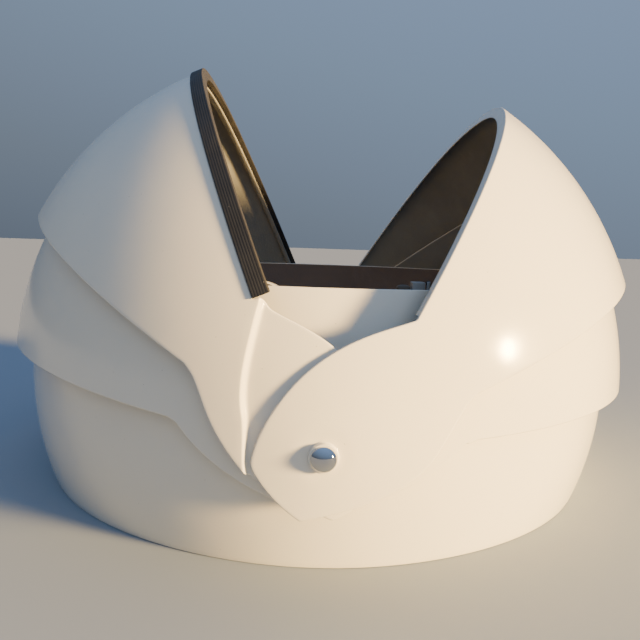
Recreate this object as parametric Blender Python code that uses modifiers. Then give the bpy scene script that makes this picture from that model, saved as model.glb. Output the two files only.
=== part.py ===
"""Clamshell observatory dome of white glass-fibre laminate, about 2.1 m across, shown half open.

A barrel-shaped base stands on the ground.  Two middle shells and two upper shells turn on one level
axis that runs from the front cheek to the back cheek, along Y.  Every shell is part of one surface
of revolution about that axis, each layer lying inside the next, so that they nest as they open.
X runs from left to right, Z is up, and the origin is on the ground under the middle of the dome.
"""

from math import cos, pi, radians, sin, sqrt, tan

import bmesh
import bpy
from mathutils import Vector
from mathutils.geometry import interpolate_bezier

# Driving sizes in metres
RADIUS = 1.07
HALF_DEPTH = 1.105
HUB_FACE = 1.102
HUB_RADIUS = 0.055
CHEEK_POWER = 2.16
ROUND_POWER = 1.763
BASE_HALF_HEIGHT = 0.331
LAMINATE = 0.006
GAP = 0.0003

# How far the outer face of each layer lies inside the outermost surface
UPPER_INSET = 0.0
UPPER_STEP = 0.013
MIDDLE_INSET = 0.046
MIDDLE_STEP = 0.013
BASE_INSET = 0.095

# Angles in degrees, measured from the closed position and from straight up
LEFT_OPEN = 22.9
RIGHT_OPEN = 30.6
MIDDLE_RATIO = 0.5
UPPER_LOWER_EDGE = {"left": 37.4, "right": 38.7}
MIDDLE_LOWER_EDGE = {"left": 72.05, "right": 73.7}
MIDDLE_RIM = {"left": 34.7, "right": 34.9}

# The rims of the upper shells, as distances from the plane through the axis
RIM = {"left": 0.023, "right": 0.019}
SEAL_THICKNESS = 0.0365
SEAL_INSETS = (-0.006, 0.0318)
FLANGE_INSET = 0.038
LIP_REACH = 0.0145
LIP_INSET = 0.0321

# Where the rim of an upper shell ends above the axis, and the bands along it
RIM_CORNER = {"left": 0.3445, "right": 0.334}
BAND_END = {"left": 0.345, "right": 0.340}

# The blades that carry the upper shells to the axle, as fractions of the radius
BLADE_EDGE = {"left": 0.1846, "right": 0.193}
BLADE_REACH = 0.127
BLADE_TIP = (0.034, -0.138)

# The same for the blades of the middle shells
MIDDLE_REACH = 0.105
MIDDLE_TIP = (0.035, -0.125)

# The round dish of the right middle shell
DISH_RADIUS = 0.172
DISH_SIDES = 32

AXLE_RADIUS = 0.015
BORE_RADIUS = AXLE_RADIUS + GAP
SPACER_RADIUS = 0.026
BOSS_RADIUS = 0.0305
BOSS_HEIGHT = 0.014
CAP_RADIUS = 0.0266
CAP_SKIRT = 0.004
CAP_SLOPE = 50
BEARING_RADIUS = 0.050
BEARING_THICKNESS = 0.012
NUT_RADIUS = 0.024
NUT_HEIGHT = 0.014
AXLE_OVERHANG = 0.006
BOSS_CHAMFER = 0.002
ROUND_STEPS = 24

FOOT_WIDTH = 0.060
FOOT_THICKNESS = 0.008
SEAM_X = 0.48

# The switch inside the front rim: its pad, and (size, x from the pad's middle, top above the rim, bevel)
SWITCH_X = 0.206
SWITCH_Y = -0.880
PAD_HALF_WIDTH = 0.053
PAD_BOTTOM = -0.115
PAD_TOP = -0.008
SWITCH_BOX = ((0.031, 0.034, 0.076), 0.008, 0.0145, 0.003)
SWITCH_LEVER = ((0.012, 0.014, 0.078), 0.031, 0.019, 0.003)
SWITCH_GLAND = ((0.034, 0.026, 0.053), -0.0265, 0.007, 0.009)

STRAP_CENTRE = (-0.155, 0.247)
STRAP_RADIUS = 0.093
STRAP_THICKNESS = 0.004
STRAP_HALF_ANGLE = 62
STRAP_PIECES = 10
STRAP_Y = -0.895

# The facets of the turned shells, and how far the cutters reach past them
MERIDIANS = 40
PROFILE_STEP = 9.0
REACH = 3.0
OUTSIDE = 0.05

# Where the axis lies: the foot is on the ground, and the dome at rest is centred on the origin
MIDDLE_RADIUS = RADIUS - MIDDLE_INSET
MIDDLE_FACET_RADIUS = MIDDLE_RADIUS * cos(pi / MERIDIANS)
LEFT_EXTENT = MIDDLE_FACET_RADIUS * sin(radians(MIDDLE_LOWER_EDGE["left"] + MIDDLE_RATIO * LEFT_OPEN))
RIGHT_EXTENT = MIDDLE_FACET_RADIUS * sin(radians(MIDDLE_LOWER_EDGE["right"] + MIDDLE_RATIO * RIGHT_OPEN))
AXIS = Vector(((LEFT_EXTENT - RIGHT_EXTENT) / 2, 0.0, BASE_HALF_HEIGHT))


def clear_scene():
    for thing in list(bpy.data.objects):
        bpy.data.objects.remove(thing)


def collection(name):
    group = bpy.data.collections.new(name)
    bpy.context.scene.collection.children.link(group)
    return group


def material(name, colour, roughness, metallic=0.0):
    made = bpy.data.materials.new(name)
    made.use_nodes = True
    shader = made.node_tree.nodes["Principled BSDF"]
    shader.inputs["Base Color"].default_value = (*colour, 1.0)
    shader.inputs["Roughness"].default_value = roughness
    shader.inputs["Metallic"].default_value = metallic
    return made


def turn_frame(name, angle, lower_edge=0.0):
    """an empty on the axis, turned by an angle in degrees, that carries one moving body

    The facets of its shells are laid so that the lower edge falls in the middle of one.
    """
    frame = bpy.data.objects.new(name, None)
    frame.location = AXIS
    frame.rotation_euler = (0.0, radians(angle), 0.0)
    frame["first_meridian"] = lower_edge + 180 / MERIDIANS
    PARTS.objects.link(frame)
    return frame


def place(name, mesh, frame, look=None, group=None):
    thing = bpy.data.objects.new(name, mesh)
    thing.parent = frame
    if look:
        mesh.materials.append(look)
    (group or PARTS).objects.link(thing)
    return thing


def cutter(name, mesh, frame):
    thing = place(name, mesh, frame, group=CUTTERS)
    thing.hide_render = True
    thing.display_type = "WIRE"
    return thing


def layer_profile(inset):
    """(radius, y) from the front hub to the back hub, on the surface that lies inset inside"""
    half = [(BORE_RADIUS, HUB_FACE - inset), (HUB_RADIUS, HUB_FACE - inset)]
    angle = PROFILE_STEP
    while angle < 90.1:
        c = max(cos(radians(angle)), 0.0)
        s = sin(radians(angle))
        y = HALF_DEPTH * c ** (2 / CHEEK_POWER)
        r = RADIUS * s ** (2 / ROUND_POWER)
        slope_y = CHEEK_POWER / HALF_DEPTH * (y / HALF_DEPTH) ** (CHEEK_POWER - 1)
        slope_r = ROUND_POWER / RADIUS * (r / RADIUS) ** (ROUND_POWER - 1)
        size = sqrt(slope_y ** 2 + slope_r ** 2)
        half.append((r - inset * slope_r / size, y - inset * slope_y / size))
        angle += PROFILE_STEP
    front = [(r, -y) for r, y in half]
    back = [(r, y) for r, y in reversed(half[:-1])]
    return front + back


def turned_shell(name, outer_inset, inner_inset, frame, look=None, group=None):
    """a solid between two layers, turned all the way round the axis"""
    outer = layer_profile(outer_inset)
    inner = layer_profile(inner_inset)
    first = radians(frame["first_meridian"])
    loop = [Vector((r * sin(first), y, r * cos(first))) for r, y in outer + inner[::-1]]
    mesh = bpy.data.meshes.new(name)
    edges = [(i, (i + 1) % len(loop)) for i in range(len(loop))]
    mesh.from_pydata(loop, edges, [])
    shell = place(name, mesh, frame, look, group)
    turn = shell.modifiers.new("turn", "SCREW")
    turn.axis = "Y"
    turn.angle = 2 * pi
    turn.steps = MERIDIANS
    turn.render_steps = MERIDIANS
    turn.use_merge_vertices = True
    turn.merge_threshold = 0.0001
    turn.use_smooth_shade = True
    return shell


def prism(name, outline, frame, y_range=(-REACH, REACH)):
    """a cutter with an outline in the XZ plane, drawn out along Y"""
    mesh = bpy.data.meshes.new(name)
    shape = bmesh.new()
    points = [shape.verts.new((x, y_range[0], z)) for x, z in outline]
    face = shape.faces.new(points)
    drawn = bmesh.ops.extrude_face_region(shape, geom=[face])
    far = [v for v in drawn["geom"] if isinstance(v, bmesh.types.BMVert)]
    bmesh.ops.translate(shape, verts=far, vec=(0.0, y_range[1] - y_range[0], 0.0))
    bmesh.ops.recalc_face_normals(shape, faces=shape.faces)
    shape.to_mesh(mesh)
    shape.free()
    return cutter(name, mesh, frame)


def combine(thing, operation, other):
    step = thing.modifiers.new(operation.lower(), "BOOLEAN")
    step.operation = operation
    step.solver = "EXACT"
    step.object = other


def curve(start, handle1, handle2, end, pieces):
    """points of a Bezier stretch, without its last one, given as fractions of the radius"""
    knots = [Vector((p[0], p[1], 0.0)) * RADIUS for p in (start, handle1, handle2, end)]
    made = interpolate_bezier(*knots, pieces + 1)
    return [(p.x, p.y) for p in made[:-1]]


def scaled(points):
    return [(x * RADIUS, z * RADIUS) for x, z in points]


def polar(distance, angle):
    return (distance * sin(radians(angle)), distance * cos(radians(angle)))


def blade_foot(side):
    """the lower end of an upper blade: inner edge, soft corner, bottom and pointed corner"""
    points = curve((-0.0166, 0.2795), (-0.080, 0.220), (-BLADE_REACH, 0.130), (-BLADE_REACH, 0.015), 8)
    points += curve((-BLADE_REACH, 0.015), (-BLADE_REACH, -0.030), (-0.120, -0.062), (-0.111, -0.084), 4)
    points += curve((-0.111, -0.084), (-0.105, -0.096), (-0.098, -0.100), (-0.088, -0.105), 3)
    points += curve((-0.088, -0.105), (-0.050, -0.124), (-0.010, -0.135), BLADE_TIP, 4)
    if side == "left":
        points += curve(BLADE_TIP, (0.0794, -0.0888), (0.1262, -0.0374), (0.1546, 0.0137), 5)
        points += curve((0.1546, 0.0137), (0.1645, 0.0374), (0.1822, 0.0935), (BLADE_EDGE[side], 0.1495), 5)
        return points + scaled([(BLADE_EDGE[side], 0.1495)])
    points += curve(BLADE_TIP, (0.100, -0.070), (BLADE_EDGE[side], 0.020), (BLADE_EDGE[side], 0.120), 8)
    return points + scaled([(BLADE_EDGE[side], 0.120)])


def upper_outline(side):
    """an upper shell seen along the axis in its closed position, own side at plus x"""
    edge = UPPER_LOWER_EDGE[side]
    blade = BLADE_EDGE[side] * RADIUS
    corner = blade / sin(radians(edge))
    corner_height = blade / tan(radians(edge))
    points = [(RIM[side], REACH), (RIM[side], RIM_CORNER[side])]
    if side == "left":
        points += [(0.0105, RIM_CORNER[side]), (0.005, 0.340), (0.0005, 0.333)]
        points += [(-0.0004, 0.325), (-0.004, 0.3156)]
    points += blade_foot(side)
    points.append((blade, corner_height - 0.022))
    points.append((blade + 0.004, corner_height - 0.006))
    points.append(polar(corner + 0.016, edge))
    points.append(polar(REACH, edge))
    return points


def middle_outline(side):
    """a middle shell seen along the axis in its closed position, own side at plus x"""
    edge = MIDDLE_LOWER_EDGE[side]
    points = [polar(REACH, MIDDLE_RIM[side]), polar(0.332, MIDDLE_RIM[side])]
    points += curve((0.1600, 0.2330), (0.060, 0.130), (-MIDDLE_REACH, 0.130), (-MIDDLE_REACH, 0.0), 8)
    points += curve((-MIDDLE_REACH, 0.0), (-MIDDLE_REACH, -0.060), (-0.100, -0.090), (-0.060, -0.108), 4)
    points += curve((-0.060, -0.108), (-0.030, -0.122), (0.000, -0.130), MIDDLE_TIP, 3)
    points += curve(MIDDLE_TIP, (0.150, -0.090), (0.250, 0.010), (0.286, 0.080), 8)
    points.append(polar(0.322, edge + 1.4))
    points.append(polar(0.338, edge))
    points.append(polar(REACH, edge))
    return points


def mirrored(outline):
    return [(-x, z) for x, z in reversed(outline)]


def ridge_outline(depth):
    """the sunk part of a joggled blade: all that lies on the far side of the ridge"""
    ridge = curve((0.0056, 0.3178), (0.0701, 0.2290), (0.1047, 0.1776), (0.1145, 0.1280), 8)
    ridge += curve((0.1145, 0.1280), (0.1215, 0.0935), (0.1449, 0.0561), (0.1547, 0.0154), 4)
    ridge += scaled([(0.1547, 0.0154), (0.215, -0.056), (0.215, -0.374), (-0.374, -0.374), (-0.374, 0.330)])
    return [(x + depth, z) for x, z in ridge]


def box(name, size, centre, frame, look, bevel):
    mesh = bpy.data.meshes.new(name)
    shape = bmesh.new()
    bmesh.ops.create_cube(shape, size=1.0)
    bmesh.ops.scale(shape, vec=size, verts=shape.verts)
    bmesh.ops.translate(shape, vec=centre, verts=shape.verts)
    shape.to_mesh(mesh)
    shape.free()
    thing = place(name, mesh, frame, look)
    edge = thing.modifiers.new("soft_edges", "BEVEL")
    edge.width = bevel
    edge.segments = 2


def turned(name, outline, frame, look, y_sign):
    """a solid of revolution on the axis from (radius, y) points, running outwards from the dome"""
    loop = [Vector((r, y * y_sign, 0.0)) for r, y in outline]
    if y_sign < 0:
        loop.reverse()
    mesh = bpy.data.meshes.new(name)
    closed = all(r > 0 for r, y in outline)
    count = len(loop)
    edges = [(i, (i + 1) % count) for i in range(count if closed else count - 1)]
    mesh.from_pydata(loop, edges, [])
    thing = place(name, mesh, frame, look)
    turn = thing.modifiers.new("turn", "SCREW")
    turn.axis = "Y"
    turn.angle = 2 * pi
    turn.steps = ROUND_STEPS
    turn.render_steps = ROUND_STEPS
    turn.use_merge_vertices = True
    turn.merge_threshold = 0.0001
    turn.use_smooth_shade = True


def cut_to(thing, outline, side, frame):
    """keep only what lies inside the outline, which is drawn for the right side"""
    shape = mirrored(outline) if side == "left" else outline
    combine(thing, "INTERSECT", prism(thing.name + "_outline", shape, frame))


def cut_away(thing, *tools):
    for tool in tools:
        tool.hide_render = True
        tool.display_type = "WIRE"
        combine(thing, "DIFFERENCE", tool)


def rim_band(name, side, insets, depths, frame, look):
    """a strip along the rim of an upper shell, from one cheek over the top to the other"""
    band = turned_shell(name, insets[0], insets[1], frame, look)
    low = BAND_END[side]
    outline = [(depths[0], low), (depths[1], low), (depths[1], REACH), (depths[0], REACH)]
    cut_to(band, outline, side, frame)
    return band


def left_upper_shell(frame, look):
    """the left shell: its blade steps inwards at a curved ridge, to lie behind the right one"""
    shell = turned_shell("left_upper_shell", UPPER_INSET, UPPER_STEP + LAMINATE, frame, look)
    cut_to(shell, upper_outline("left"), "left", frame)
    sunk = turned_shell("left_upper_sunk_face", -OUTSIDE, UPPER_STEP, frame, group=CUTTERS)
    cut_to(sunk, ridge_outline(0.0), "left", frame)
    hollow = turned_shell("left_upper_hollow", LAMINATE, OUTSIDE, frame, group=CUTTERS)
    ridge = prism("left_upper_ridge", mirrored(ridge_outline(LAMINATE)), frame)
    combine(hollow, "DIFFERENCE", ridge)
    cut_away(shell, sunk, hollow)


def right_upper_shell(frame, look):
    """the right shell, whose blade is the outermost face of the dome"""
    shell = turned_shell("right_upper_shell", UPPER_INSET, UPPER_INSET + LAMINATE, frame, look)
    cut_to(shell, upper_outline("right"), "right", frame)


def left_middle_shell(frame, look):
    shell = turned_shell("left_middle_shell", MIDDLE_INSET, MIDDLE_INSET + LAMINATE, frame, look)
    cut_to(shell, middle_outline("left"), "left", frame)


def disc_outline(radius):
    return [polar(radius, 360 * i / DISH_SIDES) for i in range(DISH_SIDES)]


def right_middle_shell(frame, look):
    """the right middle shell: a round dish round the axle lies behind the left one's blade"""
    sunk_inset = MIDDLE_INSET + MIDDLE_STEP
    shell = turned_shell("right_middle_shell", MIDDLE_INSET, sunk_inset + LAMINATE, frame, look)
    cut_to(shell, middle_outline("right"), "right", frame)
    sunk = turned_shell("right_middle_sunk_face", 0.0, sunk_inset, frame, group=CUTTERS)
    cut_to(sunk, disc_outline(DISH_RADIUS), "right", frame)
    inner_insets = (MIDDLE_INSET + LAMINATE, MIDDLE_INSET + OUTSIDE)
    hollow = turned_shell("right_middle_hollow", *inner_insets, frame, group=CUTTERS)
    wall = prism("right_middle_dish", disc_outline(DISH_RADIUS + LAMINATE), frame)
    combine(hollow, "DIFFERENCE", wall)
    cut_away(shell, sunk, hollow)


def rim_flange(side, frame, look):
    """the flat band that stands inwards under a rim; the left one has a lip to hold the seal"""
    insets = (LAMINATE + GAP, FLANGE_INSET)
    rim = RIM[side]
    if side == "right":
        rim_band("right_rim_flange", side, insets, (rim, rim + LAMINATE), frame, look)
        return
    flange = rim_band("left_rim_flange", side, insets, (rim - LIP_REACH, rim + LAMINATE), frame, look)
    channel = turned_shell("left_seal_channel", -OUTSIDE, LIP_INSET, frame, group=CUTTERS)
    cut_to(channel, [(-REACH, 0.0), (rim, 0.0), (rim, REACH), (-REACH, REACH)], side, frame)
    cut_away(flange, channel)


def base_ring(prefix, outer_inset, inner_inset, low, high, frame, look):
    """a ring cut flat at two heights, in four lengths that meet at upright seams"""
    spans = {
        "front": ((-SEAM_X, SEAM_X), (-REACH, 0.0)),
        "back": ((-SEAM_X, SEAM_X), (0.0, REACH)),
        "left": ((-REACH, -SEAM_X - GAP), (-REACH, REACH)),
        "right": ((SEAM_X + GAP, REACH), (-REACH, REACH)),
    }
    for place_name, (x_span, y_span) in spans.items():
        name = place_name + prefix
        ring = turned_shell(name, outer_inset, inner_inset, frame, look)
        outline = [(x_span[0], low), (x_span[1], low), (x_span[1], high), (x_span[0], high)]
        combine(ring, "INTERSECT", prism(name + "_outline", outline, frame, y_span))


def washer(name, outer_inset, inner_inset, radius, frame, look, y_sign):
    """a round piece on the axle between two insets, with a gap to its neighbours at both faces"""
    outer = HUB_FACE - outer_inset - GAP
    inner = HUB_FACE - inner_inset + GAP
    outline = [(BORE_RADIUS, outer), (radius, outer), (radius, inner), (BORE_RADIUS, inner)]
    turned(name, outline, frame, look, y_sign)


def pivot(end, frame):
    """everything on the axle at one cheek, from the bright cap inwards to the nut"""
    y_sign = -1 if end == "front" else 1
    inside = BASE_INSET + LAMINATE
    nut_inset = inside + BEARING_THICKNESS
    inner_end = HUB_FACE - nut_inset - NUT_HEIGHT - AXLE_OVERHANG
    outer_end = HUB_FACE + BOSS_HEIGHT - GAP
    outline = [(0.0, outer_end), (AXLE_RADIUS, outer_end), (AXLE_RADIUS, inner_end), (0.0, inner_end)]
    turned(end + "_axle", outline, frame, STEEL, y_sign)

    steps = [
        ("_outer_spacer", UPPER_INSET + LAMINATE, UPPER_STEP),
        ("_long_spacer", UPPER_STEP + LAMINATE, MIDDLE_INSET),
        ("_middle_spacer", MIDDLE_INSET + LAMINATE, MIDDLE_INSET + MIDDLE_STEP),
        ("_inner_spacer", MIDDLE_INSET + MIDDLE_STEP + LAMINATE, BASE_INSET),
    ]
    for name, near, far in steps:
        washer(end + name, near, far, SPACER_RADIUS, frame, NYLON, y_sign)

    washer(end + "_bearing", inside, nut_inset, BEARING_RADIUS, frame, STEEL, y_sign)
    washer(end + "_axle_nut", nut_inset, nut_inset + NUT_HEIGHT, NUT_RADIUS, frame, STEEL, y_sign)

    foot = HUB_FACE + GAP
    top = HUB_FACE + BOSS_HEIGHT
    boss = [(BORE_RADIUS, top), (BOSS_RADIUS - BOSS_CHAMFER, top), (BOSS_RADIUS, top - BOSS_CHAMFER)]
    boss += [(BOSS_RADIUS, foot), (BORE_RADIUS, foot)]
    turned(end + "_boss", boss, frame, GELCOAT, y_sign)
    seat = top + GAP
    ball = CAP_RADIUS / sin(radians(CAP_SLOPE))
    ball_centre = seat + CAP_SKIRT - ball * cos(radians(CAP_SLOPE))
    slopes = [radians(CAP_SLOPE * i / 4) for i in range(5)]
    cap = [(ball * sin(a), ball_centre + ball * cos(a)) for a in slopes]
    cap += [(CAP_RADIUS, seat), (0.0, seat)]
    turned(end + "_cap", cap, frame, CHROME, y_sign)


def bonded_block(name, outline, depth, frame, look):
    """a block on the inner face of the front wall, with an outline in the XZ plane"""
    inside = BASE_INSET + LAMINATE + GAP
    block = turned_shell(name, inside, inside + OUTSIDE, frame, look)
    combine(block, "INTERSECT", prism(name + "_outline", outline, frame, (-REACH, depth)))


def arch_outline(centre, outer, inner, half_angle, pieces):
    turns = [half_angle * (2 * i / pieces - 1) for i in range(pieces + 1)]
    arcs = [polar(outer, t) for t in turns] + [polar(inner, t) for t in reversed(turns)]
    return [(centre[0] + x, centre[1] + z) for x, z in arcs]


def rim_fittings(frame):
    """the shell stop switch with its pad inside the front rim at the right, and a strap at the left"""
    rim = BASE_HALF_HEIGHT
    left, right = SWITCH_X - PAD_HALF_WIDTH, SWITCH_X + PAD_HALF_WIDTH
    low, high = rim + PAD_BOTTOM, rim + PAD_TOP
    pad = [(left, low), (right, low), (right, high), (left, high)]
    bonded_block("switch_pad", pad, SWITCH_Y, frame, GELCOAT)
    pieces = {
        "switch_box": (SWITCH_BOX, SWITCH_GREY),
        "switch_lever": (SWITCH_LEVER, RUBBER),
        "switch_gland": (SWITCH_GLAND, RUBBER),
    }
    for name, ((size, offset, top, bevel), look) in pieces.items():
        centre = (SWITCH_X + offset, SWITCH_Y + GAP + size[1] / 2, rim + top - size[2] / 2)
        box(name, size, centre, frame, look, bevel)
    under = STRAP_RADIUS - STRAP_THICKNESS
    strap = arch_outline(STRAP_CENTRE, STRAP_RADIUS, under, STRAP_HALF_ANGLE, STRAP_PIECES)
    bonded_block("rim_strap", strap, STRAP_Y, frame, GELCOAT)


clear_scene()
PARTS = collection("observatory_dome")
CUTTERS = collection("cutters")

GELCOAT = material("white_gelcoat", (0.80, 0.78, 0.73), 0.12)
RUBBER = material("seal_rubber", (0.035, 0.032, 0.032), 0.65)
STEEL = material("galvanised_steel", (0.45, 0.46, 0.47), 0.35, 1.0)
NYLON = material("nylon", (0.75, 0.74, 0.70), 0.45)
CHROME = material("chrome", (0.85, 0.86, 0.88), 0.05, 1.0)
SWITCH_GREY = material("switch_grey", (0.22, 0.29, 0.36), 0.4)

BASE = turn_frame("base_axis", 0.0)
LEFT_UPPER = turn_frame("left_upper_axis", -LEFT_OPEN, -UPPER_LOWER_EDGE["left"])
RIGHT_UPPER = turn_frame("right_upper_axis", RIGHT_OPEN, UPPER_LOWER_EDGE["right"])
LEFT_MIDDLE = turn_frame("left_middle_axis", -LEFT_OPEN * MIDDLE_RATIO, -MIDDLE_LOWER_EDGE["left"])
RIGHT_MIDDLE = turn_frame("right_middle_axis", RIGHT_OPEN * MIDDLE_RATIO, MIDDLE_LOWER_EDGE["right"])

left_upper_shell(LEFT_UPPER, GELCOAT)
right_upper_shell(RIGHT_UPPER, GELCOAT)
left_middle_shell(LEFT_MIDDLE, GELCOAT)
right_middle_shell(RIGHT_MIDDLE, GELCOAT)

rim_flange("left", LEFT_UPPER, GELCOAT)
rim_flange("right", RIGHT_UPPER, GELCOAT)
SEAL_DEPTHS = (RIM["left"] - GAP - SEAL_THICKNESS, RIM["left"] - GAP)
rim_band("rim_seal", "left", SEAL_INSETS, SEAL_DEPTHS, LEFT_UPPER, RUBBER)

WALL = (BASE_INSET, BASE_INSET + LAMINATE)
base_ring("_base_wall", *WALL, -BASE_HALF_HEIGHT, BASE_HALF_HEIGHT, BASE, GELCOAT)
FOOT = (WALL[1] + GAP, WALL[1] + FOOT_WIDTH)
FOOT_TOP = -BASE_HALF_HEIGHT + FOOT_THICKNESS
base_ring("_foot_flange", *FOOT, -BASE_HALF_HEIGHT, FOOT_TOP, BASE, GELCOAT)

for END in ("front", "back"):
    pivot(END, BASE)
rim_fittings(BASE)
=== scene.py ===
"""The clamshell observatory dome in its finished surfaces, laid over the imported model."""

from math import cos, pi, radians, sin

import bmesh
import bpy
import numpy as np
from mathutils import Matrix, Vector
from mathutils.geometry import delaunay_2d_cdt, interpolate_bezier


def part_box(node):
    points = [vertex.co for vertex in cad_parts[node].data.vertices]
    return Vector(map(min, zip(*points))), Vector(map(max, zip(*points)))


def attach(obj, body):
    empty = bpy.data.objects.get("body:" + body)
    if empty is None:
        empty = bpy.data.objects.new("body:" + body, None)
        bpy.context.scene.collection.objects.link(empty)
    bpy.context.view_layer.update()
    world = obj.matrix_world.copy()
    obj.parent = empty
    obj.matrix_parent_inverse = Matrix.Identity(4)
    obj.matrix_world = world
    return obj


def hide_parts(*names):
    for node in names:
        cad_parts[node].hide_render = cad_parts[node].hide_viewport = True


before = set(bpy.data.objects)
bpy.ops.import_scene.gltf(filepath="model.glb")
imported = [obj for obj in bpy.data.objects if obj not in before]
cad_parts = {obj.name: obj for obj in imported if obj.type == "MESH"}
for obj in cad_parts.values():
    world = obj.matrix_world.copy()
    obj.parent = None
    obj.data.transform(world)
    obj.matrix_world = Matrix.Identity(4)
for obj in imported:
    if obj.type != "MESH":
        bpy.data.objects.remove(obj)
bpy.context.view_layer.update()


# Camera.  It stands a little over two metres in front of the dome, at the height of the
# open upper shells, and looks slightly down through the open slot.
sight = Vector((0.01660, 0.99270, -0.11950))
camera_up = Vector((-0.03171, 0.11998, 0.99227))


def add_object(name, data):
    """a new object in the scene"""
    made = bpy.data.objects.new(name, data)
    bpy.context.scene.collection.objects.link(made)
    return made


camera = add_object("camera", bpy.data.cameras.new("camera"))
camera.matrix_world = Matrix((sight.cross(camera_up), camera_up, -sight)).transposed().to_4x4()
camera.location = (-0.0388, -2.2695, 0.7488)
camera.data.lens = 33.87
camera.data.sensor_width = 36.0
camera.data.clip_start = 0.05
bpy.context.scene.camera = camera


# Floor.  A plain sheet under the dome, in a pale matt paint.  It runs so far out on every side that
# it meets the surround in a level line.
FLOOR_REACH = 400.0

floor_mesh = bpy.data.meshes.new("floor")
floor_shape = bmesh.new()
bmesh.ops.create_grid(floor_shape, x_segments=1, y_segments=1, size=FLOOR_REACH)
floor_shape.to_mesh(floor_mesh)
floor_shape.free()
floor = add_object("floor", floor_mesh)
floor_paint = bpy.data.materials.new("pale_floor")
floor_paint.use_nodes = True
floor_shader = floor_paint.node_tree.nodes["Principled BSDF"].inputs
floor_shader["Base Color"].default_value = (0.30, 0.34, 0.40, 1.0)
floor_shader["Roughness"].default_value = 0.9
floor_mesh.materials.append(floor_paint)


# Base wall.  The barrel that stands on the ground: glass-fibre laminate, 6 mm thick, laid up in a
# polished female mould, so that its outside is white gelcoat with a wet gloss.  The inside is
# painted by hand in a dark brown-grey, which stops short of the rims and leaves a pale wrap there.
DOME_RADIUS = 1.07
DOME_HALF_DEPTH = 1.105
CHEEK_POWER = 2.16
ROUND_POWER = 1.763
HUB_FACE = 1.102
AXLE = Vector((-0.003203, 0.0, 0.331))
LAMINATE = 0.006
BASE_INSET = 0.095
BASE_HALF_HEIGHT = 0.331
OUTER_ROUND = 0.0042
INNER_ROUND = 0.0016
ROUNDING_LINES = (0.0005, INNER_ROUND, 0.0028, OUTER_ROUND)
SHEET_STEP = 0.017
ROW_STEP = SHEET_STEP * 0.866
LINE_CLEARANCE = SHEET_STEP * 0.45
LINE_OVERRUN = 0.002
MITRE_LIMIT = 0.6
SEAM_SLACK = 0.0002
SEAM_WELD = 0.00002
LEVEL_POINTS = 90
INNER_STEP_SHIFT = 0.0025


def node(tree, kind, inputs=(), **settings):
    """a node with its settings, and its inputs linked to sockets or set to values"""
    made = tree.nodes.new(kind)
    for name, value in settings.items():
        setattr(made, name, value)
    for key, value in dict(inputs).items():
        if isinstance(value, bpy.types.NodeSocket):
            tree.links.new(value, made.inputs[key])
        else:
            made.inputs[key].default_value = value
    return made


def out(tree, kind, inputs=(), **settings):
    """the first output of a new node"""
    return node(tree, kind, inputs, **settings).outputs[0]


def calc(tree, operation, *values):
    return out(tree, "ShaderNodeMath", enumerate(values), operation=operation)


def level(tree, mask, low, high, at_low=0.0, at_high=1.0):
    """a value that goes from one to another as a mask goes from low to high"""
    return out(tree, "ShaderNodeMapRange", {"Value": mask, "From Min": low, "From Max": high,
                                            "To Min": at_low, "To Max": at_high})


def tint(tree, mask, colour_a, colour_b, low, high):
    """a colour that goes from one to another as a mask goes from low to high"""
    start = colour_a if isinstance(colour_a, bpy.types.NodeSocket) else (*colour_a, 1.0)
    share = level(tree, mask, low, high)
    mix = node(tree, "ShaderNodeMix", {"Factor": share, 6: start, 7: (*colour_b, 1.0)}, data_type="RGBA")
    return mix.outputs[2]


def group_tree(name, kind, inputs, outputs):
    """an empty node group with named sockets"""
    tree = bpy.data.node_groups.new(name, kind)
    for socket, socket_kind, value in inputs:
        made = tree.interface.new_socket(socket, in_out="INPUT", socket_type="NodeSocket" + socket_kind)
        if value is not None:
            made.default_value = value
    for socket, socket_kind in outputs:
        tree.interface.new_socket(socket, in_out="OUTPUT", socket_type="NodeSocket" + socket_kind)
    return tree, tree.nodes.new("NodeGroupInput").outputs, tree.nodes.new("NodeGroupOutput").inputs


def surface_wear():
    """rain runs, dust and small scuffs, as masks that any finish of the dome can use"""
    tree, given, result = group_tree(
        "weathering", "ShaderNodeTree",
        [("Cloud Size", "Float", 1.4), ("Run Size", "Float", 5.0), ("Seed", "Float", 0.0)],
        [("Cloud", "Float"), ("Runs", "Float"), ("Specks", "Float")])
    place = node(tree, "ShaderNodeTexCoord").outputs["Object"]
    drawn = out(tree, "ShaderNodeMapping", {"Vector": place, "Scale": (1.0, 1.0, 0.12)})
    masks = {}
    for mask, vector, size, detail, roughness in (("Cloud", place, "Cloud Size", 4.0, 0.55),
                                                  ("Runs", drawn, "Run Size", 5.0, 0.6)):
        masks[mask] = out(tree, "ShaderNodeTexNoise",
                          {"Vector": vector, "W": given["Seed"], "Scale": given[size], "Detail": detail,
                           "Roughness": roughness}, noise_dimensions="4D")
        tree.links.new(masks[mask], result[mask])
    grains = out(tree, "ShaderNodeTexVoronoi", {"Vector": place, "Scale": 46.0, "Randomness": 1.0})
    near = level(tree, grains, 0.075, 0.03)
    chance = level(tree, calc(tree, "FRACT", calc(tree, "MULTIPLY", masks["Cloud"], 37.0)), 0.80, 0.86)
    tree.links.new(calc(tree, "MULTIPLY", near, chance), result["Specks"])
    return tree


WEATHERING = surface_wear()


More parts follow.
